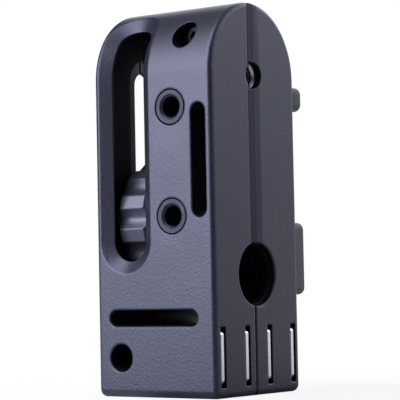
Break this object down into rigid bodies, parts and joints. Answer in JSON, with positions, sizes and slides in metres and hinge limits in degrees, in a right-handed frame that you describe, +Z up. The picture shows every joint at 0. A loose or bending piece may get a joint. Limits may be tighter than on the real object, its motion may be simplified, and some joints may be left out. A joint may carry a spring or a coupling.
{
  "type": "mounting block",
  "caption": "Arched plastic mounting block with a sliding thumbwheel clamp stud, a threaded tripod bore, strap slots and magnetic pole plates in its side.",
  "frame": {"origin": "middle of the part's envelope on the floor plane that the block's base stands on", "axes": "+Z up through the arch, -Y out of the front face with the finger window, -X out of the face with the clamp stud, +X out of the face with the tripod bore"},
  "size_m": [0.0428, 0.0426, 0.1],
  "materials": {
    "housing_plastic": "fine satin texture, dark slate grey",
    "wheel_plastic": "smooth satin, dark slate grey",
    "keeper_rubber": "matt, dark grey",
    "black_steel": "blackened, satin",
    "bright_steel": "bright, ground edges",
    "plated_steel": "zinc plated",
    "magnet_nickel": "nickel plated"
  },
  "bodies": {
    "block": {"front_shell": "housing_plastic", "rear_shell": "housing_plastic", "side_insert": "bright_steel", "front_bushing_upper": "black_steel", "front_bushing_lower": "black_steel", "upper_screw": "black_steel", "lower_screw": "black_steel", "upper_nut": "plated_steel", "lower_nut": "plated_steel", "front_outer_pole": "bright_steel", "front_inner_pole": "bright_steel", "rear_inner_pole": "bright_steel", "rear_outer_pole": "bright_steel", "front_magnet": "magnet_nickel", "rear_magnet": "magnet_nickel", "strap_peg": "keeper_rubber", "strap_cleat": "keeper_rubber"},
    "carriage": {"slide_washer": "plated_steel"},
    "knob": {"thumbwheel": "wheel_plastic", "clamp_screw": "plated_steel"}
  },
  "joints": [
    {"name": "clamp_slide", "type": "slide", "parent": "block", "child": "carriage", "axis": [0, 0, 1], "range_m": [0, 0.0358]},
    {"name": "wheel_turn", "type": "hinge", "parent": "carriage", "child": "knob", "pos_m": [-0.0072, -0.0026, 0.0455], "axis": [1, 0, 0], "continuous": true}
  ]
}
